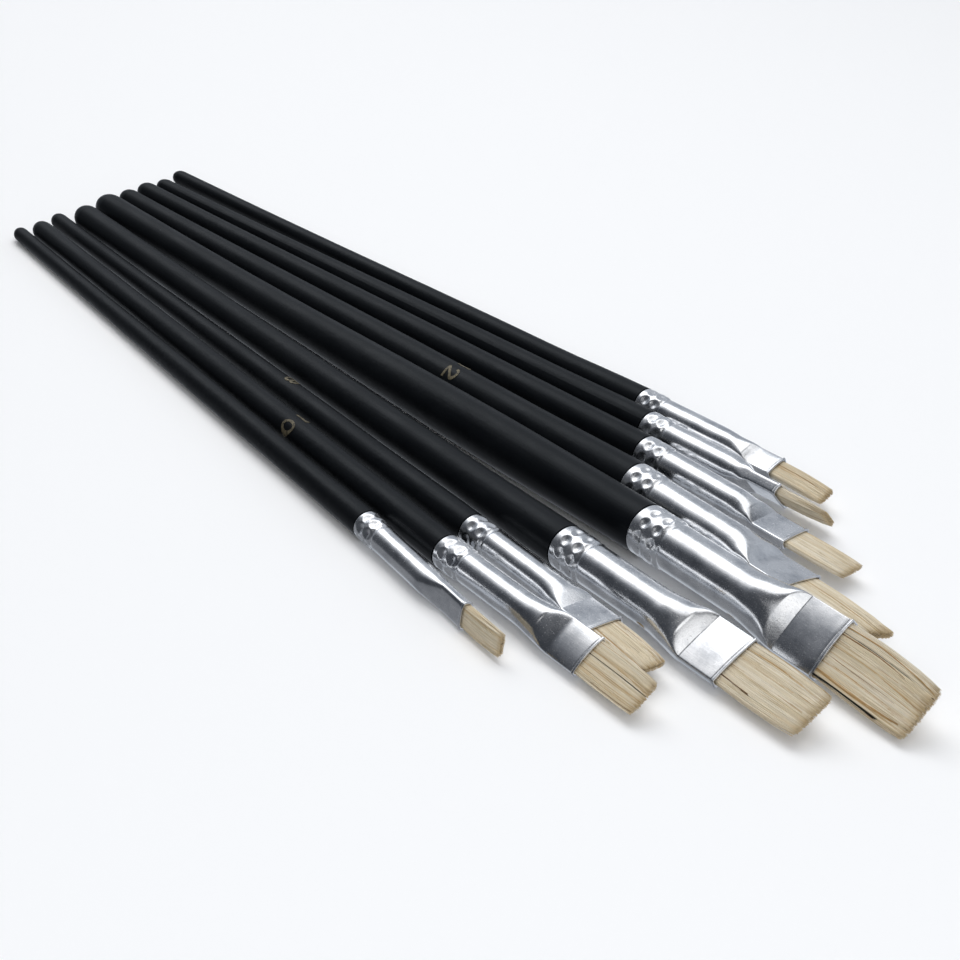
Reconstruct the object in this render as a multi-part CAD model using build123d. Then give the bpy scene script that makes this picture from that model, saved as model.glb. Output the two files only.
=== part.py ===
"""A fan of nine flat bristle brushes, laid side by side on a flat surface. Millimetres, +Z up.

Each brush is built along its own +X axis, from the round end of the handle (x = 0) to the tips of the
bristles, with its flat mouth wide along Y. It is then rolled, tilted and laid in its place in the row.
"""

from build123d import *
from dataclasses import dataclass
from math import atan2, cos, degrees, pi, radians, sin, sqrt
import os

os.makedirs("parts", exist_ok=True)


@dataclass
class Brush:
    """Driving sizes of one brush. Lengths run along its axis and radii are of the round handle."""

    end_x: float  # where the handle's round end lies in the row
    end_y: float
    yaw: float  # turn in plan, in degrees, positive towards +Y
    roll: float  # turn of the flat mouth about the brush's own axis, in degrees
    handle_length: float  # visible wood, from the round end to the ferrule
    end_radius: float
    waist_radius: float
    belly_radius: float
    collar_radius: float
    ferrule_length: float
    ferrule_turn: float  # how far the ferrule was crimped on crooked, in plan, in degrees
    ferrule_drop: float  # and downwards
    flat_width: float
    flat_thickness: float
    tuft_length: float  # bristle that stands out of the ferrule
    tuft_lean: float  # how far the tips stand to one side of the mouth


BRUSHES = [
    Brush(0.5, -28.0, -4.6, 80.5, 198, 2.1, 2.5, 3.1, 3.35, 41.7, -1.75, 0.6, 6.0, 2.7, 13.4, 0.6),
    Brush(2.5, -22.5, -3.9, 34.5, 216, 2.9, 3.2, 3.7, 3.95, 48.8, 1.4, -0.4, 9.2, 2.1, 17.0, -0.2),
    Brush(-1.5, -14.8, -3.3, -2, 216, 2.4, 2.7, 3.5, 3.80, 46.8, -0.1, 0.0, 8.6, 2.8, 16.0, -1.0),
    Brush(2.5, -8.5, -2.1, 26, 231, 3.8, 3.9, 4.6, 5.05, 53.1, 0.3, 0.2, 12.4, 2.6, 21.2, 0.0),
    Brush(0.0, 0.0, 0.0, 40, 240, 4.2, 4.5, 6.0, 5.80, 56.1, -1.55, 0.7, 13.8, 3.2, 23.9, -1.3),
    Brush(-3.5, 9.3, 0.9, -9, 226, 3.1, 3.9, 4.7, 5.10, 52.4, -2.1, 0.9, 11.0, 3.4, 21.0, -1.0),
    Brush(-5.5, 16.5, 2.3, 1, 218, 3.0, 3.5, 4.1, 4.30, 47.5, -1.4, 1.1, 7.9, 2.2, 16.4, 0.0),
    Brush(-6.5, 23.5, 3.1, 130, 210, 2.5, 3.0, 3.7, 4.05, 42.6, -0.6, 0.4, 7.2, 3.0, 13.7, 0.7),
    Brush(-10.5, 31.5, 3.1, 18, 204, 2.3, 2.6, 3.3, 3.85, 43.2, -0.4, 0.2, 5.8, 2.7, 15.5, -0.9),
]

# The foil numbers, by brush: the number, its place along the handle as a share of its length, and its turn
# about the handle, from the top towards -Y, in degrees. The other brushes have none in sight.
SIZE_NUMBERS = {
    2: ("10", 0.705, 10),
    3: ("8", 0.635, -22),
    6: ("12", 0.719, 3),
}

WALL = 0.4  # thickness of the ferrule's aluminium sheet
SEAM = 0.15  # gap between the handle's shoulder and the ferrule's back edge
FIT = 0.03  # clearance of wood, resin and bristle inside the ferrule
FLOAT = 0.01  # clearance of the foil number above the lacquer
FOIL = 0.06  # thickness of the foil number

# The ferrule's stations, as shares of its length.
COLLAR_SHARE = 0.165  # crimped collar, next to the handle
TUBE_SHARE = 0.27  # the tube is round up to here
SHOULDER_SHARE = 0.80  # and flat from here to the mouth
TENON_SHARE = 0.36  # the wooden tenon reaches this far in
PLUG_SHARE = 0.58  # set resin fills the tube from the tenon to here

NECK_STEP = 0.3  # how far the collar stands proud of the tube
OVERRUN = 1.0  # how far the ferrule's cavity and its fillings are drawn past its ends
EDGE_ROUND = 0.25  # rounded back edge of the collar
RIM_LENGTH = 0.9  # rolled rim at the mouth
RIM_BEAD = 0.18  # and how far it stands proud
CORNER_SHARE = 0.34  # corner radius of the flat mouth, as a share of its thickness
HALF_SHARE = 0.30  # how flat the tube has become halfway along its blend
OVAL_CORNER = 24  # where a round outline is split to match the flat mouth's corners, in degrees
CRIMP_ROWS = (0.38, 0.80)  # shares of the collar's length
CRIMP_SPACING = 3.2  # distance between crimps round the collar
CRIMP_RADIUS = 1.2  # ball that presses each crimp
CRIMP_DEPTH = 0.38

END_CAP = 1.5  # length of the handle's rounded end, in end radii
WAIST_PLACE = 0.38  # shares of the handle's length
BELLY_PLACE = 0.82

NUMBER_HEIGHT = 4.7  # along the handle, tops towards the bristles
NUMBER_PITCH = 4.0  # from one numeral to the next, round the handle
NUMBER_HALF_WIDTH = 1.6
STROKE = 0.7

# The tuft's outlines: place along the bristles, then width, thickness and lean there, all as shares.
TUFT_STATIONS = (
    (0.00, 1.00, 1.00, 0.00),
    (0.40, 1.03, 0.98, 0.25),
    (0.80, 0.98, 0.82, 0.70),
    (1.00, 0.90, 0.62, 1.00),
)


def crimp_count(brush):
    return round(2 * pi * brush.collar_radius / CRIMP_SPACING)


def revolved(profile_edges):
    """A solid of revolution about the X axis from edges in the upper half of the XY plane."""
    return revolve(make_face(profile_edges), Axis.X, 360)


def handle_outline(brush, grow=0.0):
    """The handle's profile: rounded end, slim waist, fuller belly, then in to the ferrule."""
    length = brush.handle_length
    cap = END_CAP * brush.end_radius
    end_radius = brush.end_radius + grow
    nose = EllipticalCenterArc(
        center=(cap, 0),
        x_radius=cap + grow,
        y_radius=end_radius,
        start_angle=90,
        arc_size=90,
    )
    belly = (BELLY_PLACE * length, brush.belly_radius + grow)
    joint_radius = brush.collar_radius + grow
    side = Spline(
        (cap, end_radius),
        (WAIST_PLACE * length, brush.waist_radius + grow),
        belly,
        tangents=[(1, 0), (1, 0)],
    )
    shoulder = Spline(belly, (length, joint_radius), tangents=[(1, 0), (1, 0)])
    back = Line((length, joint_radius), (length, 0))
    axis = Line((length, 0), (-grow, 0))
    return revolved([nose, side, shoulder, back, axis])


def mouth_section(width, thickness, station):
    """The flat mouth's outline: four straight sides and four round corners, from eight edges."""
    half_w = width / 2
    half_t = thickness / 2
    corner = CORNER_SHARE * thickness
    flat_w = half_w - corner
    flat_t = half_t - corner
    edges = []
    for sign_y, sign_z in ((1, 1), (-1, 1), (-1, -1), (1, -1)):
        centre = (sign_y * flat_w, sign_z * flat_t)
        on_side = (sign_y * half_w, sign_z * flat_t)
        on_face = (sign_y * flat_w, sign_z * half_t)
        lean = corner * sqrt(0.5)
        middle = (centre[0] + sign_y * lean, centre[1] + sign_z * lean)
        first, last = (on_side, on_face) if sign_y * sign_z > 0 else (on_face, on_side)
        edges.append(ThreePointArc(first, middle, last))
    for index in range(4):
        start = edges[index] @ 1
        end = edges[(index + 1) % 4] @ 0
        edges.append(Line(start, end))
    ring = [edges[0], edges[4], edges[1], edges[5], edges[2], edges[6], edges[3], edges[7]]
    return face_across(ring, station)


def oval_section(half_w, half_t, station):
    """A circle or oval in the same eight edges, so that it blends evenly into the flat mouth."""
    turns = []
    for quarter in (0, 90, 180, 270):
        turns += [quarter + OVAL_CORNER, quarter + 90 - OVAL_CORNER]
    ring = []
    for index in range(8):
        start = turns[index]
        end = turns[(index + 1) % 8] + (360 if index == 7 else 0)
        middle = (start + end) / 2
        points = [(half_w * cos(radians(a)), half_t * sin(radians(a))) for a in (start, middle, end)]
        ring.append(ThreePointArc(*points))
    return face_across(ring, station)


def face_across(ring, station):
    """A flat outline drawn in (Y, Z), set square across the brush's axis at a station along X."""
    across = Plane(origin=(station, 0, 0), x_dir=(0, 1, 0), z_dir=(1, 0, 0))
    return across * make_face(ring)


def crimp_balls(brush, radius):
    """The balls that press two rows of crimps into the collar."""
    collar = COLLAR_SHARE * brush.ferrule_length
    reach = brush.collar_radius + CRIMP_RADIUS - CRIMP_DEPTH
    count = crimp_count(brush)
    balls = []
    for share in CRIMP_ROWS:
        for index in range(count):
            turn = radians(360 * index / count)
            place = (brush.handle_length + share * collar, reach * cos(turn), reach * sin(turn))
            balls.append(Pos(*place) * Sphere(radius))
    return balls


def ferrule_form(brush, inset):
    """The ferrule's outer shape, taken in by a distance all round: collar, tube, blend and flat mouth.

    Taken in, it runs on past both ends, so that it cuts or fills the shell right through.
    """
    overrun = OVERRUN if inset else 0
    start = brush.handle_length
    length = brush.ferrule_length
    neck = start + COLLAR_SHARE * length
    tube_end = start + TUBE_SHARE * length
    shoulder = start + SHOULDER_SHARE * length
    mouth = start + length + overrun
    collar_radius = brush.collar_radius - inset
    tube_radius = collar_radius - NECK_STEP
    width = brush.flat_width - 2 * inset
    thickness = brush.flat_thickness - 2 * inset
    back = start - overrun if inset else start + SEAM
    edge = 0 if inset else EDGE_ROUND
    points = [
        (back, 0),
        (back, collar_radius - edge),
        (start + SEAM + edge, collar_radius),
        (neck - NECK_STEP, collar_radius),
        (neck, tube_radius),
        (tube_end, tube_radius),
        (tube_end, 0),
    ]
    form = revolved(Polyline(*points, close=True).edges())
    half_w = tube_radius + HALF_SHARE * (width / 2 - tube_radius)
    half_t = tube_radius + HALF_SHARE * (thickness / 2 - tube_radius)
    blend = loft(
        [
            oval_section(tube_radius, tube_radius, tube_end),
            oval_section(half_w, half_t, (tube_end + shoulder) / 2),
            mouth_section(width, thickness, shoulder),
        ]
    )
    flat = extrude(mouth_section(width, thickness, shoulder), mouth - shoulder)
    form = form + blend + flat
    if inset == 0:
        bead = mouth_section(width + 2 * RIM_BEAD, thickness + 2 * RIM_BEAD, mouth - RIM_LENGTH)
        form += extrude(bead, RIM_LENGTH)
    return form - crimp_balls(brush, CRIMP_RADIUS + inset)


def slab(start, end, half=20.0):
    """A block across the brush from one station to another, to cut fillings to length."""
    return Pos((start + end) / 2, 0, 0) * Box(end - start, 2 * half, 2 * half)


def ferrule(brush):
    """A thin aluminium shell, open at both ends."""
    return ferrule_form(brush, 0) - ferrule_form(brush, WALL)


def turned_on_handle(brush, piece):
    """Sets a piece of the ferrule's end crooked on the handle, before the brush is laid down."""
    joint = Pos(brush.handle_length, 0, 0)
    upright = Rot(brush.roll, 0, 0)
    bent = Rot(0, 0, brush.ferrule_turn) * Rot(0, brush.ferrule_drop, 0)
    return joint * upright.inverse() * bent * upright * joint.inverse() * piece


def handle(brush, filling):
    """Turned wood, lacquered outside, with a tenon glued and crimped into the ferrule."""
    start = brush.handle_length
    tenon = filling & slab(start - OVERRUN, start + TENON_SHARE * brush.ferrule_length)
    return handle_outline(brush) + turned_on_handle(brush, tenon)


def resin_plug(brush, filling):
    """Set resin that holds the roots of the bristles."""
    start = brush.handle_length
    length = brush.ferrule_length
    return filling & slab(start + TENON_SHARE * length + FIT, start + PLUG_SHARE * length)


def tuft(brush, filling):
    """The packed bristles, from their roots in the resin to the trimmed tips."""
    start = brush.handle_length
    length = brush.ferrule_length
    mouth = start + length
    root = filling & slab(start + PLUG_SHARE * length + FIT, mouth)
    width = brush.flat_width - 2 * (WALL + FIT)
    thickness = brush.flat_thickness - 2 * (WALL + FIT)
    outlines = []
    for place, wide, thick, lean in TUFT_STATIONS:
        outline = mouth_section(wide * width, thick * thickness, mouth + place * brush.tuft_length)
        outlines.append(Pos(0, lean * brush.tuft_lean, 0) * outline)
    bristles = loft(outlines)
    return root + bristles


def ring_glyph(centre_x, centre_y, radius_x, radius_y):
    outer = Pos(centre_x, centre_y) * Ellipse(radius_x, radius_y)
    inner = Pos(centre_x, centre_y) * Ellipse(radius_x - STROKE, radius_y - STROKE)
    return outer - inner


def bar(start, end):
    """A straight stroke between two points."""
    dx = end[0] - start[0]
    dy = end[1] - start[1]
    middle = ((start[0] + end[0]) / 2, (start[1] + end[1]) / 2)
    return Pos(*middle) * Rot(0, 0, degrees(atan2(dy, dx))) * Rectangle(sqrt(dx * dx + dy * dy), STROKE)


def digit(character):
    """One upright numeral drawn from plain strokes, centred on the origin."""
    half_h = NUMBER_HEIGHT / 2
    half_w = NUMBER_HALF_WIDTH
    if character == "1":
        flag = bar((-1.2 * STROKE, half_h - 1.7 * STROKE), (0, half_h - STROKE / 2))
        return bar((0, -half_h), (0, half_h)) + flag
    if character == "0":
        return ring_glyph(0, 0, half_w, half_h)
    if character == "8":
        upper = ring_glyph(0, 0.46 * half_h, 0.88 * half_w, 0.54 * half_h)
        return upper + ring_glyph(0, -0.42 * half_h, half_w, 0.58 * half_h)
    bowl_y = half_h - half_w
    bowl = Pos(0, bowl_y) * (Circle(half_w) - Circle(half_w - STROKE))
    bowl -= Pos(-half_w, bowl_y - half_w) * Rectangle(2 * half_w, 2 * half_w)
    bowl -= Pos(0, bowl_y - half_w - STROKE / 2) * Rectangle(2 * half_w, 2 * half_w)
    slant = bar((half_w - STROKE * 0.6, bowl_y - STROKE * 0.4), (STROKE * 0.4 - half_w, STROKE / 2 - half_h))
    foot = bar((-half_w, STROKE / 2 - half_h), (half_w, STROKE / 2 - half_h))
    return bowl + slant + foot


def size_mark(brush, number, place, turn):
    """The foil number, wrapped on the lacquer of the handle's upper side."""
    count = len(number)
    flat_number = Sketch()
    for index, character in enumerate(number):
        flat_number += Pos((index - (count - 1) / 2) * NUMBER_PITCH, 0) * digit(character)
    station = place * brush.handle_length
    # The numerals' tops point towards the bristles (+X), and they read from +Y to -Y.
    upper = Plane(origin=(station, 0, 0), x_dir=(0, -1, 0), z_dir=(0, 0, 1))
    block = extrude(upper * flat_number, 3 * brush.collar_radius)
    skin = handle_outline(brush, FLOAT + FOIL) - handle_outline(brush, FLOAT)
    near = skin & slab(station - NUMBER_HEIGHT, station + NUMBER_HEIGHT)
    return Rot(turn - brush.roll, 0, 0) * (near & block)


def resting_tilt(brush):
    """How far the brush's axis rises, in degrees, when it lies on its handle's end and its belly or mouth."""
    turn = radians(brush.roll)
    corner = CORNER_SHARE * (brush.flat_thickness + 2 * RIM_BEAD)
    half_w = brush.flat_width / 2 + RIM_BEAD - corner
    half_t = brush.flat_thickness / 2 + RIM_BEAD - corner
    drop = abs(half_w * sin(turn)) + abs(half_t * cos(turn)) + corner
    mouth = brush.handle_length + brush.ferrule_length
    drop += brush.ferrule_length * sin(radians(brush.ferrule_drop))
    touches = [
        (BELLY_PLACE * brush.handle_length, brush.belly_radius),
        (brush.handle_length, brush.collar_radius),
        (mouth, drop),
    ]
    cap = END_CAP * brush.end_radius
    return max(degrees(atan2(low - brush.end_radius, place - cap)) for place, low in touches)


def laid_down(brush, piece):
    """Rolls, tilts and lays a piece in the brush's place in the row, resting on the plane z = 0."""
    tilt = resting_tilt(brush)
    lying = Rot(0, 0, brush.yaw) * Rot(0, -tilt, 0) * Rot(brush.roll, 0, 0)
    height = brush.end_radius - END_CAP * brush.end_radius * sin(radians(tilt))
    return Pos(brush.end_x, brush.end_y, height) * lying * piece


def build_brush(index, brush):
    filling = ferrule_form(brush, WALL + FIT)
    name = f"brush_{index}"
    pieces = {
        f"{name}_handle": handle(brush, filling),
        f"{name}_ferrule": turned_on_handle(brush, ferrule(brush)),
        f"{name}_resin_plug": turned_on_handle(brush, resin_plug(brush, filling)),
        f"{name}_bristle_tuft": turned_on_handle(brush, tuft(brush, filling)),
    }
    if index in SIZE_NUMBERS:
        pieces[f"{name}_size_mark"] = size_mark(brush, *SIZE_NUMBERS[index])
    return {node: laid_down(brush, piece) for node, piece in pieces.items()}


def main():
    pieces = {}
    for index, brush in enumerate(BRUSHES, start=1):
        pieces.update(build_brush(index, brush))
    boxes = [piece.bounding_box() for piece in pieces.values()]
    middle_x = (min(box.min.X for box in boxes) + max(box.max.X for box in boxes)) / 2
    middle_y = (min(box.min.Y for box in boxes) + max(box.max.Y for box in boxes)) / 2
    for node, piece in pieces.items():
        export_step(Pos(-middle_x, -middle_y, 0) * piece, f"parts/{node}.step")


main()
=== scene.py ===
"""Looks for the fan of nine flat bristle brushes. Metres, in the CAD frame."""

import math

import bpy
import numpy as np
from mathutils import Matrix, Vector

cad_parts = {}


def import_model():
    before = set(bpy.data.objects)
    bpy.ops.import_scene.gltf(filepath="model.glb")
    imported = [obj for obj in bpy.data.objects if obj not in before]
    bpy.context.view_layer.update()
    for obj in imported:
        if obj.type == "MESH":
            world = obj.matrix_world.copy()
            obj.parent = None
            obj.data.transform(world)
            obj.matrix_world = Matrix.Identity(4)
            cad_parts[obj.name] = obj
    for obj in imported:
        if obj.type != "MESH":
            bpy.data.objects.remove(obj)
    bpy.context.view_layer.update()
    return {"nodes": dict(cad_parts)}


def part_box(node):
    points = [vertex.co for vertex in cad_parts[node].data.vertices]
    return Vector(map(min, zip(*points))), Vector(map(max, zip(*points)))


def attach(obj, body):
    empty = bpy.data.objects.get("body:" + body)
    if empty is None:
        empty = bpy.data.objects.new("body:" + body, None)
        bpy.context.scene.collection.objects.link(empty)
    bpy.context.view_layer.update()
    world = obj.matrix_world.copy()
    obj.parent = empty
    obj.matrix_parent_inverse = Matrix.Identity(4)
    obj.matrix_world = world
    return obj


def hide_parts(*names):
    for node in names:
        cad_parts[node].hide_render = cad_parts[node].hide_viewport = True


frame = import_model()
MM = 0.001

# The driving sizes of each brush, in millimetres and degrees, as in the CAD.
COLUMNS = (
    "end_x", "end_y", "yaw", "roll", "handle_length", "end_radius", "waist_radius", "belly_radius",
    "collar_radius", "ferrule_length", "ferrule_turn", "ferrule_drop", "flat_width", "flat_thickness",
    "tuft_length", "tuft_lean",
)
ROW = (
    (0.5, -28.0, -4.6, 80.5, 198, 2.1, 2.5, 3.1, 3.35, 41.7, -1.75, 0.6, 6.0, 2.7, 13.4, 0.6),
    (2.5, -22.5, -3.9, 34.5, 216, 2.9, 3.2, 3.7, 3.95, 48.8, 1.4, -0.4, 9.2, 2.1, 17.0, -0.2),
    (-1.5, -14.8, -3.3, -2, 216, 2.4, 2.7, 3.5, 3.80, 46.8, -0.1, 0.0, 8.6, 2.8, 16.0, -1.0),
    (2.5, -8.5, -2.1, 26, 231, 3.8, 3.9, 4.6, 5.05, 53.1, 0.3, 0.2, 12.4, 2.6, 21.2, 0.0),
    (0.0, 0.0, 0.0, 40, 240, 4.2, 4.5, 6.0, 5.80, 56.1, -1.55, 0.7, 13.8, 3.2, 23.9, -1.3),
    (-3.5, 9.3, 0.9, -9, 226, 3.1, 3.9, 4.7, 5.10, 52.4, -2.1, 0.9, 11.0, 3.4, 21.0, -1.0),
    (-5.5, 16.5, 2.3, 1, 218, 3.0, 3.5, 4.1, 4.30, 47.5, -1.4, 1.1, 7.9, 2.2, 16.4, 0.0),
    (-6.5, 23.5, 3.1, 130, 210, 2.5, 3.0, 3.7, 4.05, 42.6, -0.6, 0.4, 7.2, 3.0, 13.7, 0.7),
    (-10.5, 31.5, 3.1, 18, 204, 2.3, 2.6, 3.3, 3.85, 43.2, -0.4, 0.2, 5.8, 2.7, 15.5, -0.9),
)
BRUSHES = {index: dict(zip(COLUMNS, row)) for index, row in enumerate(ROW, start=1)}
END_CAP = 1.5  # length of the handle's rounded end, in end radii
BELLY_PLACE = 0.82  # where the handle is thickest, as a share of its length
CORNER_SHARE = 0.34  # corner radius of the flat mouth, as a share of its thickness
RIM_BEAD = 0.18  # how far the rim stands out where a brush rests on it
WALL = 0.4  # thickness of the ferrule's sheet
FIT = 0.03  # clearance between the bristle and the ferrule

low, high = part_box("brush_5_handle")
ROW_ORIGIN = Vector((low.x, (low.y + high.y) / 2, 0))


def turn(axis, angle):
    """A rotation about an axis, in degrees."""
    return Matrix.Rotation(math.radians(angle), 4, axis)


def brush_frame(b):
    """The matrix that lays a brush down, from its own frame to the row's, in metres."""
    roll = math.radians(b["roll"])
    corner = CORNER_SHARE * (b["flat_thickness"] + 2 * RIM_BEAD)
    half_w = b["flat_width"] / 2 + RIM_BEAD - corner
    half_t = b["flat_thickness"] / 2 + RIM_BEAD - corner
    drop = abs(half_w * math.sin(roll)) + abs(half_t * math.cos(roll)) + corner
    drop += b["ferrule_length"] * math.sin(math.radians(b["ferrule_drop"]))
    length = b["handle_length"]
    cap = END_CAP * b["end_radius"]
    touches = (
        (BELLY_PLACE * length, b["belly_radius"]),
        (length, b["collar_radius"]),
        (length + b["ferrule_length"], drop),
    )
    tilt = max(math.atan2(y - b["end_radius"], x - cap) for x, y in touches)
    height = b["end_radius"] - cap * math.sin(tilt)
    lying = turn("Z", b["yaw"]) @ turn("Y", -math.degrees(tilt)) @ turn("X", b["roll"])
    place = Vector((b["end_x"], b["end_y"], height)) * MM
    return Matrix.Translation(ROW_ORIGIN + place) @ lying


def crooked(b):
    """The small turn of a brush's ferrule on its handle, in the brush's own frame."""
    joint = Matrix.Translation(Vector((b["handle_length"] * MM, 0, 0)))
    upright = turn("X", b["roll"])
    bent = turn("Z", b["ferrule_turn"]) @ turn("Y", b["ferrule_drop"])
    return joint @ upright.inverted() @ bent @ upright @ joint.inverted()


# ---------------------------------------------------------------- materials


def material(name):
    mat = bpy.data.materials.new(name)
    mat.use_nodes = True
    nodes = mat.node_tree.nodes
    return mat, nodes, mat.node_tree.links, nodes["Principled BSDF"]


def add(nodes, kind, **values):
    """A new node, with values for its inputs or, where it has no such input, its settings."""
    node = nodes.new(kind)
    for key, value in values.items():
        if key in node.inputs:
            node.inputs[key].default_value = value
        else:
            setattr(node, key, value)
    return node


def ramp(nodes, *stops):
    """A colour ramp. A plain number stands for a grey."""
    node = nodes.new("ShaderNodeValToRGB")
    elements = node.color_ramp.elements
    while len(elements) < len(stops):
        elements.new(0.5)
    for element, (place, colour) in zip(elements, stops):
        element.position = place
        element.color = (*colour, 1) if isinstance(colour, tuple) else (colour, colour, colour, 1)
    return node


def scaled_coordinates(nodes, links, scale):
    """Object coordinates, in metres, multiplied to a pattern's own size."""
    place = nodes.new("ShaderNodeTexCoord")
    mapping = add(nodes, "ShaderNodeMapping", Scale=scale)
    links.new(place.outputs["Object"], mapping.inputs["Vector"])
    return mapping.outputs["Vector"]


def bump(nodes, links, shader, height, strength, distance):
    node = add(nodes, "ShaderNodeBump", Strength=strength, Distance=distance)
    links.new(height, node.inputs["Height"])
    links.new(node.outputs["Normal"], shader.inputs["Normal"])


def colours_of(sockets):
    """The colour sockets of a Mix node, which also has sockets for numbers and vectors."""
    return [socket for socket in sockets if socket.type == "RGBA"]


def blended(nodes, links, how, a, b):
    """Two colours multiplied or added."""
    node = add(nodes, "ShaderNodeMix", data_type="RGBA", blend_type=how, Factor=1.0)
    first, second = colours_of(node.inputs)
    links.new(a, first)
    links.new(b, second)
    return colours_of(node.outputs)[0]


def lacquer():
    """Satin blue-black lacquer over turned wood: faint ripples along the grain and a few specks of dust."""
    mat, nodes, links, shader = material("black_lacquer")
    grain = add(nodes, "ShaderNodeTexNoise", Scale=1.0, Detail=5.0, Roughness=0.6)
    links.new(scaled_coordinates(nodes, links, (60, 900, 900)), grain.inputs["Vector"])
    mottle = add(nodes, "ShaderNodeTexNoise", Scale=1.0, Detail=4.0, Roughness=0.55)
    links.new(scaled_coordinates(nodes, links, (90, 240, 240)), mottle.inputs["Vector"])
    dust = add(nodes, "ShaderNodeTexVoronoi", Scale=1.0)
    dust.inputs["Randomness"].default_value = 1.0
    links.new(scaled_coordinates(nodes, links, (240, 300, 300)), dust.inputs["Vector"])
    speck = ramp(nodes, (0.0, 1.0), (0.075, 0.0))
    links.new(dust.outputs["Distance"], speck.inputs["Fac"])
    few = ramp(nodes, (0.90, 0.0), (0.92, 1.0))
    links.new(dust.outputs["Color"], few.inputs["Fac"])
    sparse = blended(nodes, links, "MULTIPLY", speck.outputs["Color"], few.outputs["Color"])
    tint = ramp(nodes, (0.25, (0.0015, 0.0019, 0.0026)), (0.75, (0.0036, 0.0042, 0.0052)))
    links.new(mottle.outputs["Fac"], tint.inputs["Fac"])
    colour = add(nodes, "ShaderNodeMix", data_type="RGBA")
    clean, dusty = colours_of(colour.inputs)
    dusty.default_value = (0.16, 0.165, 0.17, 1)
    links.new(sparse, colour.inputs["Factor"])
    links.new(tint.outputs["Color"], clean)
    links.new(colours_of(colour.outputs)[0], shader.inputs["Base Color"])
    rough = add(nodes, "ShaderNodeMapRange")
    rough.inputs["To Min"].default_value = 0.30
    rough.inputs["To Max"].default_value = 0.58
    links.new(mottle.outputs["Fac"], rough.inputs["Value"])
    links.new(rough.outputs["Result"], shader.inputs["Roughness"])
    shader.inputs["Specular IOR Level"].default_value = 0.18
    shader.inputs["Specular Tint"].default_value = (0.82, 0.92, 1.0, 1)
    bump(nodes, links, shader, grain.outputs["Fac"], 0.36, 0.00012)
    return mat


def aluminium():
    """Bright drawn aluminium: draw lines along the tube, smears, scuffs, pits, and a duller collar."""
    mat, nodes, links, shader = material("ferrule_aluminium")
    draw = add(nodes, "ShaderNodeTexNoise", Scale=1.0, Detail=4.0, Roughness=0.6)
    links.new(scaled_coordinates(nodes, links, (40, 2400, 2400)), draw.inputs["Vector"])
    smear = add(nodes, "ShaderNodeTexNoise", Scale=1.0, Detail=5.0, Roughness=0.62)
    links.new(scaled_coordinates(nodes, links, (180, 260, 260)), smear.inputs["Vector"])
    pits = add(nodes, "ShaderNodeTexNoise", Scale=1.0, Detail=2.0, Roughness=0.8)
    links.new(scaled_coordinates(nodes, links, (3000, 3000, 3000)), pits.inputs["Vector"])
    worked = nodes.new("ShaderNodeAttribute")
    worked.attribute_name = "worked"
    tint = ramp(nodes, (0.30, (0.56, 0.575, 0.60)), (0.58, (0.86, 0.865, 0.875)))
    links.new(smear.outputs["Fac"], tint.inputs["Fac"])
    links.new(tint.outputs["Color"], shader.inputs["Base Color"])
    rough = add(nodes, "ShaderNodeMapRange")
    rough.inputs["To Min"].default_value = 0.15
    rough.inputs["To Max"].default_value = 0.29
    links.new(smear.outputs["Fac"], rough.inputs["Value"])
    duller = add(nodes, "ShaderNodeMath", operation="MULTIPLY_ADD")
    duller.inputs[1].default_value = 0.05
    links.new(worked.outputs["Fac"], duller.inputs[0])
    links.new(rough.outputs["Result"], duller.inputs[2])
    shader.inputs["Metallic"].default_value = 1.0
    scuffs = add(nodes, "ShaderNodeTexNoise", Scale=1.0, Detail=3.0, Roughness=0.7)
    links.new(scaled_coordinates(nodes, links, (1500, 2600, 2600)), scuffs.inputs["Vector"])
    scuffed = ramp(nodes, (0.61, 0.0), (0.72, 0.25))
    links.new(scuffs.outputs["Fac"], scuffed.inputs["Fac"])
    rougher = add(nodes, "ShaderNodeMath", operation="ADD")
    links.new(duller.outputs["Value"], rougher.inputs[0])
    links.new(scuffed.outputs["Color"], rougher.inputs[1])
    links.new(rougher.outputs["Value"], shader.inputs["Roughness"])
    relief = add(nodes, "ShaderNodeMath", operation="MULTIPLY_ADD")
    relief.inputs[1].default_value = 0.5
    links.new(pits.outputs["Fac"], relief.inputs[0])
    links.new(draw.outputs["Fac"], relief.inputs[2])
    bump(nodes, links, shader, relief.outputs["Value"], 0.16, 0.00005)
    return mat


def foil():
    """Dull gold foil, a little worn through."""
    mat, nodes, links, shader = material("gold_foil")
    wear = add(nodes, "ShaderNodeTexNoise", Scale=1.0, Detail=4.0, Roughness=0.7)
    links.new(scaled_coordinates(nodes, links, (1500, 1500, 1500)), wear.inputs["Vector"])
    tint = ramp(nodes, (0.35, (0.03, 0.027, 0.018)), (0.58, (0.16, 0.135, 0.085)))
    links.new(wear.outputs["Fac"], tint.inputs["Fac"])
    links.new(tint.outputs["Color"], shader.inputs["Base Color"])
    shader.inputs["Metallic"].default_value = 0.35
    shader.inputs["Roughness"].default_value = 0.5
    bump(nodes, links, shader, wear.outputs["Fac"], 0.2, 0.00004)
    return mat


def resin():
    """Amber set resin, hidden inside the ferrules."""
    mat, nodes, links, shader = material("set_resin")
    cloud = add(nodes, "ShaderNodeTexNoise", Scale=1.0, Detail=3.0)
    links.new(scaled_coordinates(nodes, links, (500, 500, 500)), cloud.inputs["Vector"])
    tint = ramp(nodes, (0.3, (0.30, 0.19, 0.07)), (0.7, (0.46, 0.32, 0.14)))
    links.new(cloud.outputs["Fac"], tint.inputs["Fac"])
    links.new(tint.outputs["Color"], shader.inputs["Base Color"])
    shader.inputs["Roughness"].default_value = 0.4
    bump(nodes, links, shader, cloud.outputs["Fac"], 0.2, 0.0001)
    return mat


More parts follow.
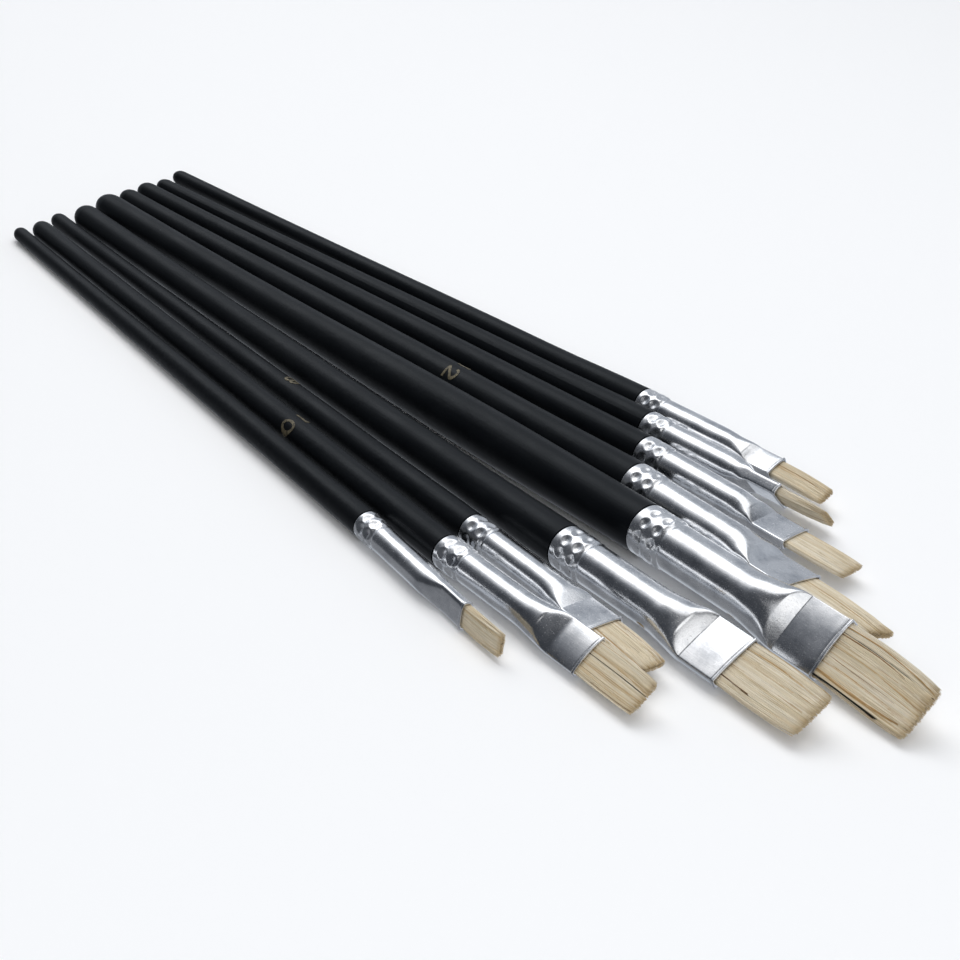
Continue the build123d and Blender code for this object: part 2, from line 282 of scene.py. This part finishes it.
def bristle():
    """Natural hog bristle: cream strands, with golden, brown and a few dark ones, tanner towards the tips, and a
    painted shade of grey where the tuft leaves the ferrule's mouth.
    """
    mat, nodes, links, shader = material("hog_bristle")
    tone = nodes.new("ShaderNodeAttribute")
    tone.attribute_name = "tone"
    along = nodes.new("ShaderNodeAttribute")
    along.attribute_name = "along"
    hue = ramp(
        nodes,
        (0.00, (0.012, 0.009, 0.007)),
        (0.03, (0.22, 0.12, 0.05)),
        (0.12, (0.50, 0.32, 0.14)),
        (0.30, (0.64, 0.53, 0.35)),
        (0.65, (0.75, 0.66, 0.50)),
        (1.00, (0.84, 0.78, 0.67)),
    )
    links.new(tone.outputs["Fac"], hue.inputs["Fac"])
    streak = add(nodes, "ShaderNodeTexNoise", Scale=1.0, Detail=3.0, Roughness=0.6)
    links.new(scaled_coordinates(nodes, links, (160, 2200, 2200)), streak.inputs["Vector"])
    shade = ramp(nodes, (0.3, 0.84), (0.6, 1.0))
    links.new(streak.outputs["Fac"], shade.inputs["Fac"])
    # Painted shade: the strands are greyer where the tuft leaves the ferrule's mouth. Away from the mouth they are
    # the strands' own colour, tanner towards the tips.
    root_shade_and_tip_tan = ramp(
        nodes,
        (0.00, (0.84, 0.82, 0.79)),
        (0.08, (1.0, 1.0, 1.0)),
        (0.90, (1.0, 1.0, 1.0)),
        (1.00, (0.86, 0.78, 0.64)),
    )
    links.new(along.outputs["Fac"], root_shade_and_tip_tan.inputs["Fac"])
    first = blended(nodes, links, "MULTIPLY", hue.outputs["Color"], shade.outputs["Color"])
    second = blended(nodes, links, "MULTIPLY", first, root_shade_and_tip_tan.outputs["Color"])
    links.new(second, shader.inputs["Base Color"])
    shader.inputs["Roughness"].default_value = 0.5
    shader.inputs["Specular IOR Level"].default_value = 0.28
    bump(nodes, links, shader, streak.outputs["Fac"], 0.15, 0.00005)
    return mat


# ---------------------------------------------------------------- ferrules, in millimetres

SEAM = 0.15  # gap between the handle's shoulder and the ferrule's back edge
NECK_STEP = 0.3  # how far the collar stands proud of the tube
COLLAR_SHARE = 0.165  # the collar's share of the ferrule's length
CRIMP_ROWS = (0.38, 0.80)  # shares of the collar's length
CRIMP_SPACING = 3.2
CRIMP_REACH = 1.35  # radius of a crimp's dimple
CRIMP_TURN = 0.40  # turn of the crimps about the ferrule, in radians
CRIMP_DEPTH = 0.36
# Where each ferrule's pressed facets start and where they meet the flat, as shares of its length,
# then how softly they meet it, how square the flat's outline is, and how much lower the flat's edges are
# than its middle, as a share of its half width.
PRESSED = {
    1: (0.66, 0.80, 0.60, 2.7, 0.030),
    2: (0.72, 0.82, 0.50, 4.6, 0.110),
    3: (0.735, 0.80, 0.22, 5.2, 0.030),
    4: (0.742, 0.806, 0.30, 5.2, 0.045),
    5: (0.750, 0.803, 0.22, 5.2, 0.085),
    6: (0.735, 0.80, 0.22, 5.2, 0.030),
    7: (0.735, 0.80, 0.22, 5.0, 0.030),
    8: (0.735, 0.80, 0.22, 5.0, 0.030),
    9: (0.79, 0.84, 0.20, 5.0, 0.090),
}
PRESS_START = 0.62  # where the pressing of the tube begins, as a share of the ferrule's length
PRESS_POWER = 1.5  # and how gently it begins
SPREAD_START = 0.54  # where the tube begins to widen
BOXY_START = 0.66  # and where its outline begins to turn square
SHOULDER = 1.22  # height of the pressed tube beside its flat faces, as a share of theirs
LENS_SLOPE = 0.95  # how steeply a facet runs out into the tube behind it
RIM_HEIGHT = 0.27  # the rolled rim at the mouth
RIM_HALF_LENGTH = 0.32
WORKED_REACH = 10.0  # how far from the handle the metal is dulled by the crimping
SIDE_STEP = 0.28  # distance between the ferrule's points, around it


def eased(x, start, end):
    """A smooth step from 0 at start to 1 at end."""
    share = np.clip((x - start) / (end - start), 0, 1)
    return share * share * (3 - 2 * share)


def swell(x, middle, width):
    """A rounded bump of height 1."""
    return np.exp(-(((x - middle) / width) ** 2))


def superellipse(half_w, half_t, power, around):
    """The outline of a rounded box, which is an ellipse where power is 2, at turns around it."""
    cos, sin = np.cos(around), np.sin(around)
    y = half_w * np.sign(cos) * np.abs(cos) ** (2 / power)
    z = half_t * np.sign(sin) * np.abs(sin) ** (2 / power)
    return y, z


def tube_faces(rings, sides, closed=False):
    """The faces between rings of points. A closed tube's last ring joins its first."""
    ring = np.arange(sides)
    after = (ring + 1) % sides
    faces = []
    for r in range(rings if closed else rings - 1):
        here, there = r * sides, (r + 1) % rings * sides
        faces.append(np.stack([here + ring, here + after, there + after, there + ring], axis=1))
    return np.concatenate(faces)


def softened_least(a, b, soft):
    """The smaller of two lengths, with the corner between them rounded."""
    blend = np.clip(0.5 + 0.5 * (b - a) / soft, 0, 1)
    return b * (1 - blend) + a * blend - soft * blend * (1 - blend)


def ferrule_stations(b):
    """Places along the ferrule, close together where its shape changes fast."""
    length = b["ferrule_length"]
    collar = COLLAR_SHARE * length
    runs = (
        np.linspace(SEAM, 0.5, 6),
        np.arange(0.7, collar + 1.0, 0.24),
        np.arange(collar + 1.2, 0.40 * length, 1.3),
        np.arange(0.40 * length, 0.68 * length, 0.6),
        np.arange(0.68 * length, 0.81 * length, 0.16),
        np.arange(0.81 * length, length - 1.1, 0.8),
        np.linspace(length - 1.05, length, 26),
    )
    return np.unique(np.concatenate(runs))


def round_radius(at, collar, tube):
    """The radius of the round part: back edge, collar, a groove along each crimped row, neck and tube."""
    radius = tube + NECK_STEP * (1 - eased(at, collar * 0.88, collar * 0.97))
    radius -= 0.22 * np.clip(1 - (at - SEAM) / 0.35, 0, 1) ** 2
    for row in CRIMP_ROWS:
        radius -= 0.10 * swell(at, row * collar, 0.75)
    radius -= 0.12 * swell(at, 1.02 * collar, 0.35)
    radius += 0.04 * swell(at, 1.13 * collar, 0.55)
    return radius


def crimped(y, z, at, around, collar, radius):
    """The outline with a dimple pressed in at each crimp, and a low edge raised round it."""
    count = round(2 * math.pi * radius / CRIMP_SPACING)
    for row in CRIMP_ROWS:
        for crimp in range(count):
            off = around - CRIMP_TURN - 2 * math.pi * crimp / count
            off = (off + math.pi) % (2 * math.pi) - math.pi
            gap = ((at - row * collar) ** 2 + (radius * off) ** 2) / CRIMP_REACH ** 2
            dent = CRIMP_DEPTH * np.clip(1 - gap, 0, 1) ** 1.5 - 0.06 * swell(np.sqrt(gap), 1.10, 0.16)
            y, z = y * (1 - dent / radius), z * (1 - dent / radius)
    return y, z


def rim_height(from_end):
    """The rolled rim at the mouth, and the groove behind it."""
    bead = np.sqrt(np.clip(1 - ((from_end - RIM_HALF_LENGTH) / RIM_HALF_LENGTH) ** 2, 0, 1))
    return RIM_HEIGHT * bead - 0.09 * swell(from_end, 0.82, 0.15)


def ferrule_skin(index, b, x, around, inset):
    """Points of the ferrule's outside, or of its inside with the wall as inset, at stations x and turns around."""
    facet_share, crease_share, soft, square, crown = PRESSED[index]
    length = b["ferrule_length"]
    collar = COLLAR_SHARE * length
    tube = b["collar_radius"] - NECK_STEP
    half_w, half_t = b["flat_width"] / 2, b["flat_thickness"] / 2
    at, around = x[:, None], around[None, :]
    share = at / length
    spread = eased(share, SPREAD_START, crease_share)
    boxy = eased(share, BOXY_START, crease_share)
    press = np.clip((share - PRESS_START) / (crease_share - PRESS_START), 0, 1) ** PRESS_POWER
    radius = round_radius(at, collar, tube)
    wide = radius + (half_w - radius) * spread
    shoulder = SHOULDER * half_t
    thick = radius + (shoulder - radius) * press
    y, z = superellipse(wide, thick, 2 + (square - 2) * boxy ** 2, around)
    facet = np.clip((share - facet_share) / (crease_share - facet_share), 0, 1)
    pressed = ((facet_share - PRESS_START) / (crease_share - PRESS_START)) ** PRESS_POWER
    start_height = tube + (shoulder - tube) * pressed
    slab = start_height + (half_t - start_height) * facet
    slab = np.where(share < facet_share, start_height + LENS_SLOPE * (facet_share - share) * length, slab)
    crowned = slab - crown * half_w * spread * (y / wide) ** 2
    z = np.sign(z) * softened_least(np.abs(z), crowned, soft)
    y, z = crimped(y, z, at, around, collar, b["collar_radius"])
    out_y, out_z = y / wide, z / np.maximum(thick, 0.1)
    size = np.maximum(np.hypot(out_y, out_z), 1e-6)
    grow = -inset if inset else rim_height(length - at)
    y = y + grow * out_y / size
    z = z + grow * out_z / size
    return np.stack([b["handle_length"] + at + 0 * y, y, z], axis=-1)


def ferrule(index, b, mat):
    """The aluminium shell: crimped collar, tube, pressed facets, flat mouth and rolled rim."""
    x = ferrule_stations(b)
    sides = 4 * round(2 * math.pi * b["collar_radius"] / SIDE_STEP / 4)
    around = 2 * math.pi * np.arange(sides) / sides
    outside = ferrule_skin(index, b, x, around, 0)
    inside = ferrule_skin(index, b, x, around, WALL)[::-1]
    rings = np.concatenate([outside, inside])
    faces = tube_faces(len(rings), sides, closed=True).tolist()
    from_handle = rings[..., 0] - b["handle_length"]
    worked = 1 - eased(from_handle, COLLAR_SHARE * b["ferrule_length"], WORKED_REACH)
    name = f"brush_{index}_pressed_ferrule"
    return mesh_piece(name, b, rings.reshape(-1, 3), faces, mat, {"worked": worked.reshape(-1)})


# ---------------------------------------------------------------- bristles, in millimetres

# The width, thickness and lean of a tuft at stations along it, as shares of those in its row.
STATIONS = np.array([0.0, 0.4, 0.8, 1.0])
WIDTHS = np.array([1.0, 1.03, 0.98, 0.90])
THICKS = np.array([1.0, 0.98, 0.78, 0.50])
LEANS = np.array([0.0, 0.25, 0.70, 1.0])
# Darker locks on the upper face: place across the tuft, tone, number of strands, and where they end along it. The
# golden-brown ones are the strands' own colour; the ones of tone 0.06 and under are painted shade of cracks
# between clumps.
LOCKS_AND_PAINTED_CRACKS = {
    2: ((0.35, 0.13, 4, 1.0), (-0.30, 0.14, 3, 0.9)),
    4: ((-0.66, 0.02, 3, 0.38), (0.25, 0.13, 4, 1.0), (-0.15, 0.13, 3, 0.9), (0.62, 0.12, 3, 1.0)),
    5: ((-0.95, 0.0, 5, 0.72), (-0.45, 0.12, 6, 1.0), (0.12, 0.13, 4, 1.0), (0.55, 0.05, 3, 0.7),
        (-0.75, 0.10, 3, 0.9), (-0.20, 0.06, 2, 0.8), (0.82, 0.12, 3, 1.0), (0.33, 0.10, 2, 1.0)),
}
LOCK_SPACING = 0.009  # between the strands of a lock, as a share of the tuft's half width
LOCK_SWAY = 0.24  # how far a lock curves to one side
LAYERS = ((1.0, 0.17), (0.965, 0.21), (0.92, 0.26))  # depth of each layer of strands, and distance between them
ROOTED = -0.06  # where the layers start, as a share of the tuft's length from the mouth
OUTLINE_POWER = 5.0  # how square the tuft's outline is
STRAND_RINGS = 9
ROUNDED_TIP = 0.022  # how much shorter the bristles are at the tuft's sides
# How much longer the bristles are on the far side of the tuft than in its middle, as a share, where they differ.
SKEWED_TIP = {5: 0.012, 6: 0.09}


def tuft_halves(b):
    """Half the tuft's width and half its thickness, at the mouth."""
    return b["flat_width"] / 2 - WALL - FIT, b["flat_thickness"] / 2 - WALL - FIT


def tuft_point(b, s, u, v):
    """A point of the tuft in its brush's frame: s along it from mouth to tips, u and v across, from -1 to 1."""
    half_w, half_t = tuft_halves(b)
    inside = np.clip(s, 0, 1)
    x = b["handle_length"] + b["ferrule_length"] + s * b["tuft_length"]
    y = u * half_w * np.interp(inside, STATIONS, WIDTHS) + b["tuft_lean"] * np.interp(inside, STATIONS, LEANS)
    z = v * half_t * np.interp(inside, STATIONS, THICKS)
    return np.stack(np.broadcast_arrays(x, y, z), axis=-1)


def on_outline(b, around):
    """The (u, v) of points spaced evenly round the tuft, for around from 0 to 1, and the distance round it."""
    half_w, half_t = tuft_halves(b)
    y, z = superellipse(half_w, half_t, OUTLINE_POWER, np.linspace(0, 2 * np.pi, 721))
    distance = np.concatenate([[0], np.cumsum(np.hypot(np.diff(y), np.diff(z)))])
    share = distance / distance[-1]
    return np.interp(around, share, y) / half_w, np.interp(around, share, z) / half_t, distance[-1]


def strands(b, rng, u, v, start, tips, thickness, tone, sway=0):
    """Thin four-sided hairs: their points, faces, and each point's tone and place along the tuft."""
    count = len(u)
    s = start + (tips - start)[:, None] * np.linspace(0, 1, STRAND_RINGS)[None, :]
    drift = np.clip(rng.normal(0, 1, (count, 2)), -2.2, 2.2)
    wave = rng.uniform(0, 2 * np.pi, (count, 2))
    centre = tuft_point(b, s, u[:, None], v[:, None])
    rise = np.clip(s, 0, 1) ** 1.5
    centre[..., 1] += 0.19 * drift[:, :1] * rise + 0.06 * rise * np.sin(wave[:, :1] + 5 * s)
    centre[..., 1] += sway * np.sin(4.4 * s)
    centre[..., 2] += 0.05 * drift[:, 1:] * rise + 0.03 * rise * np.sin(wave[:, 1:] + 4 * s)
    taper = 1 - 0.55 * np.clip((s - 0.55) / 0.45, 0, 1) ** 1.5
    radius = (thickness[:, None] * taper)[..., None]
    points = centre[:, :, None, :].repeat(4, axis=2)
    points[..., 1] += radius * np.array([1, 0, -1, 0])
    points[..., 2] += radius * np.array([0, 1, 0, -1])
    last = (STRAND_RINGS - 1) * 4
    one = np.concatenate([tube_faces(STRAND_RINGS, 4), [[3, 2, 1, 0]], [[last, last + 1, last + 2, last + 3]]])
    faces = (one[None] + (np.arange(count) * STRAND_RINGS * 4)[:, None, None]).reshape(-1, 4)
    places = np.clip(s, 0, 1)[:, :, None].repeat(4, axis=2).reshape(-1)
    return points.reshape(-1, 3), faces.tolist(), np.repeat(tone, STRAND_RINGS * 4), places


def core(b, rng, skew):
    """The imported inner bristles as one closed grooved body, a little inside the strands."""
    rings, sides = 22, 180
    u, v, _ = on_outline(b, np.arange(sides) / sides)
    groove = rng.uniform(0.945, 0.985, sides)
    s = np.linspace(-0.12, 0.955, rings)
    skewed = s[:, None] * (1 + skew * u)[None, :]
    points = tuft_point(b, skewed, (u * groove)[None, :], (v * groove)[None, :])
    ends = rng.normal(0, 0.007, sides) * b["tuft_length"]
    points[-1, :, 0] += ends - ROUNDED_TIP * b["tuft_length"] * np.abs(u) ** 8
    ring = np.arange(sides)
    faces = tube_faces(rings, sides).tolist()
    faces.append(ring[::-1].tolist())
    faces.append((ring + (rings - 1) * sides).tolist())
    tone = np.tile(np.clip(rng.normal(0.42, 0.16, sides), 0.10, 0.9), rings)
    return points.reshape(-1, 3), faces, tone, np.repeat(np.clip(s, 0, 1), sides)


def uneven_tips(rng, u, skew):
    """Where each strand ends along the tuft: a little uneven, shorter at the sides, longer on a skewed side."""
    uneven = np.clip(rng.normal(-0.008, 0.007, len(u)), -0.05, 0.01)
    return 1 + uneven - ROUNDED_TIP * np.abs(u) ** 8 + skew * u


def outer_layer(b, rng, depth, spacing, skew):
    """Strands side by side round the tuft, at a depth."""
    _, _, perimeter = on_outline(b, np.zeros(1))
    count = int(perimeter / spacing)
    around = (np.arange(count) + rng.uniform(-0.4, 0.4, count)) / count % 1
    u, v, _ = on_outline(b, around)
    deep = depth * rng.uniform(0.975, 1.0, count)
    tips = uneven_tips(rng, u, skew)
    tone = tones(rng, count)
    thickness = rng.uniform(0.075, 0.145, count)
    return strands(b, rng, u * deep, v * deep, ROOTED, tips, thickness, tone)


def end_strands(b, rng, skew):
    """Short strands all over the tuft's end, which cover the core there."""
    count = int(b["flat_width"] * b["flat_thickness"] * 6)
    u, v = rng.uniform(-0.93, 0.93, count), rng.uniform(-0.9, 0.9, count)
    tips = uneven_tips(rng, u, skew)
    thickness = rng.uniform(0.07, 0.12, count)
    return strands(b, rng, u, v, 0.7, tips, thickness, tones(rng, count))


def lock(b, rng, across, tint, count, end):
    """A few dark strands together on the upper face, curved to one side. At tone 0.06 and under they are painted
    shade of a crack between clumps; golden-brown, they are the strands' own colour.
    """
    u = across + LOCK_SPACING * (np.arange(count) - count / 2)
    tips = end * rng.uniform(0.93, 1.0, count)
    thickness = rng.uniform(0.07, 0.10, count)
    sway = rng.choice((-LOCK_SWAY, LOCK_SWAY))
    return strands(b, rng, u, np.ones(count), 0, tips, thickness, np.full(count, tint), sway)


def bristles(index, b, mat):
    """One tuft of strands round a grooved core, in place of the CAD's solid tuft."""
    rng = np.random.default_rng(100 + index)
    skew = SKEWED_TIP.get(index, 0)
    parts = [core(b, rng, skew)]
    parts += [outer_layer(b, rng, depth, spacing, skew) for depth, spacing in LAYERS]
    parts.append(end_strands(b, rng, skew))
    parts += [lock(b, rng, *row) for row in LOCKS_AND_PAINTED_CRACKS.get(index, ())]
    points, tone, along = (np.concatenate([part[i] for part in parts]) for i in (0, 2, 3))
    faces, before = [], 0
    for part in parts:
        faces += [[point + before for point in face] for face in part[1]]
        before += len(part[0])
    return mesh_piece(f"brush_{index}_bristles", b, points, faces, mat, {"tone": tone, "along": along})


def tones(rng, count):
    """Each strand's tone, from 0, black, to 1, palest, with neighbours alike and a few darker."""
    clump = rng.normal(0, 1, count)
    clump = np.convolve(np.concatenate([clump[-4:], clump, clump[:4]]), np.ones(9) / 3, "valid")
    tone = np.clip(0.22 + 0.66 * rng.beta(4.0, 2.2, count) + 0.12 * clump, 0.24, 1.0)
    kind = rng.uniform(0, 1, count)
    tone = np.where(kind < 0.07, rng.uniform(0.12, 0.30, count), tone)
    tone = np.where(kind < 0.008, rng.uniform(0.03, 0.08, count), tone)
    return np.where(kind < 0.003, 0.0, tone)


def mesh_piece(name, b, points, faces, mat, values):
    """A new mesh object from points in a brush's frame, in millimetres, with its ferrule's small turn."""
    mesh = bpy.data.meshes.new(name)
    mesh.from_pydata((points * MM).tolist(), [], faces)
    mesh.polygons.foreach_set("use_smooth", [True] * len(mesh.polygons))
    for key, of_points in values.items():
        attribute = mesh.attributes.new(key, "FLOAT", "POINT")
        attribute.data.foreach_set("value", np.asarray(of_points, np.float32))
    mesh.materials.append(mat)
    mesh.validate()
    mesh.update()
    piece = bpy.data.objects.new(name, mesh)
    bpy.context.scene.collection.objects.link(piece)
    piece.matrix_world = brush_frame(b) @ crooked(b)
    return piece


# ---------------------------------------------------------------- the brushes

looks = {
    "handle": lacquer(),
    "ferrule": aluminium(),
    "resin_plug": resin(),
    "size_mark": foil(),
}
hair = bristle()
for node, piece in frame["nodes"].items():
    kind = node.split("_", 2)[2]
    if kind in looks:
        piece.data.materials.clear()
        piece.data.materials.append(looks[kind])
for index, b in BRUSHES.items():
    shell = ferrule(index, b, looks["ferrule"])
    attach(shell, f"brush_{index}")
    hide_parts(f"brush_{index}_ferrule")
    tuft = bristles(index, b, hair)
    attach(tuft, f"brush_{index}")
    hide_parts(f"brush_{index}_bristle_tuft")

# ---------------------------------------------------------------- studio

EYE = ROW_ORIGIN + Vector((497.27, -252.085, 225.0)) * MM
AIM = ROW_ORIGIN + Vector((193.17, -8.385, 0.0)) * MM
LENS = 73.05  # in millimetres, on a sensor 36 mm wide
CAMERA_ROLL = math.radians(0.7)
FLOOR_HALF = 12.0
FLOOR_Z = -0.0002  # just under the lowest points of the brushes


def camera():
    """The camera that was fitted to the photo."""
    ahead = (AIM - EYE).normalized()
    right = ahead.cross(Vector((0, 0, 1))).normalized()
    up = right.cross(ahead)
    right, up = (
        right * math.cos(CAMERA_ROLL) + up * math.sin(CAMERA_ROLL),
        up * math.cos(CAMERA_ROLL) - right * math.sin(CAMERA_ROLL),
    )
    data = bpy.data.cameras.new("camera")
    data.lens = LENS
    data.sensor_width = 36
    data.clip_start = 0.01
    made = bpy.data.objects.new("camera", data)
    turned = Matrix((right, up, -ahead)).transposed().to_4x4()
    made.matrix_world = Matrix.Translation(EYE) @ turned
    bpy.context.scene.collection.objects.link(made)
    bpy.context.scene.camera = made


def softbox(name, place, aim, width, height, radiance, reflected=True):
    """A rectangular light, hidden from reflections where reflected is false."""
    light = bpy.data.lights.new(name, "AREA")
    light.shape = "RECTANGLE"
    light.size, light.size_y = width, height
    light.energy = radiance * math.pi * width * height
    made = bpy.data.objects.new(name, light)
    made.location = place
    made.rotation_mode = "QUATERNION"
    made.rotation_quaternion = (Vector(aim) - Vector(place)).to_track_quat("-Z", "Y")
    made.visible_glossy = reflected
    bpy.context.scene.collection.objects.link(made)


def floor():
    """A plain pale floor, hidden from reflections, where the world's grey ground takes its place."""
    mat, _, _, shader = material("pale_floor")
    shader.inputs["Base Color"].default_value = (0.97, 0.97, 0.97, 1)
    shader.inputs["Roughness"].default_value = 0.9
    shader.inputs["Specular IOR Level"].default_value = 0.1
    mesh = bpy.data.meshes.new("floor")
    corners = [(x * FLOOR_HALF, y * FLOOR_HALF, FLOOR_Z) for x, y in ((-1, -1), (1, -1), (1, 1), (-1, 1))]
    mesh.from_pydata(corners, [], [(0, 1, 2, 3)])
    mesh.materials.append(mat)
    made = bpy.data.objects.new("floor", mesh)
    made.visible_glossy = False
    bpy.context.scene.collection.objects.link(made)


def facing(nodes, links, place, direction, *stops):
    """A colour that changes with how nearly a direction faces the given one."""
    towards = nodes.new("ShaderNodeVectorMath")
    towards.operation = "DOT_PRODUCT"
    towards.inputs[1].default_value = direction
    links.new(place.outputs["Generated"], towards.inputs[0])
    colour = ramp(nodes, *stops)
    links.new(towards.outputs["Value"], colour.inputs["Fac"])
    return colour


def world():
    """A dim room: pale grey walls, grey ground, and a glow that fades away beside the overhead light."""
    made = bpy.data.worlds.new("studio")
    bpy.context.scene.world = made
    made.use_nodes = True
    nodes, links = made.node_tree.nodes, made.node_tree.links
    place = nodes.new("ShaderNodeTexCoord")
    black = (0.0, 0.0, 0.0)
    wall = facing(
        nodes,
        links,
        place,
        (-0.645, 0.764, 0.0),
        (0.35, (0.055, 0.06, 0.07)),
        (0.48, (0.33, 0.36, 0.40)),
        (0.72, (0.42, 0.45, 0.50)),
    )
    glow = facing(
        nodes,
        links,
        place,
        (-0.57, 0.0, 0.82),
        (0.80, black),
        (0.898, (0.09, 0.095, 0.105)),
        (0.950, (0.32, 0.33, 0.35)),
        (0.980, (0.95, 0.95, 0.96)),
    )
    corner = facing(nodes, links, place, (0.80, 0.58, 0.10), (0.45, black), (0.80, (0.34, 0.36, 0.40)))
    total = blended(nodes, links, "ADD", wall.outputs["Color"], glow.outputs["Color"])
    total = blended(nodes, links, "ADD", total, corner.outputs["Color"])
    below = facing(nodes, links, place, (0.0, 0.0, -1.0), (0.02, black), (0.16, (0.17, 0.175, 0.185)))
    total = blended(nodes, links, "ADD", total, below.outputs["Color"])
    links.new(total, nodes["Background"].inputs["Color"])


camera()
floor()
world()
softbox("overhead", (-0.60, 0.21, 0.80), (-0.60, 0.21, 0), 1.5, 0.60, 1.2)
softbox("front", (0.56, -0.34, 0.85), (0.56, -0.34, 0), 0.56, 0.62, 1.25)
softbox("overhead_fill", (-0.40, 0.21, 0.80), (-0.40, 0.21, 0), 1.5, 0.60, 1.55, reflected=False)
softbox("front_fill", (0.50, -0.34, 0.85), (0.50, -0.34, 0), 0.56, 0.62, 0.9, reflected=False)
softbox("side_fill", (0.75, -0.65, 0.55), (0.05, 0.0, 0), 0.7, 0.5, 2.9, reflected=False)
scene = bpy.context.scene
scene.view_settings.view_transform = "Standard"
scene.view_settings.look = "None"
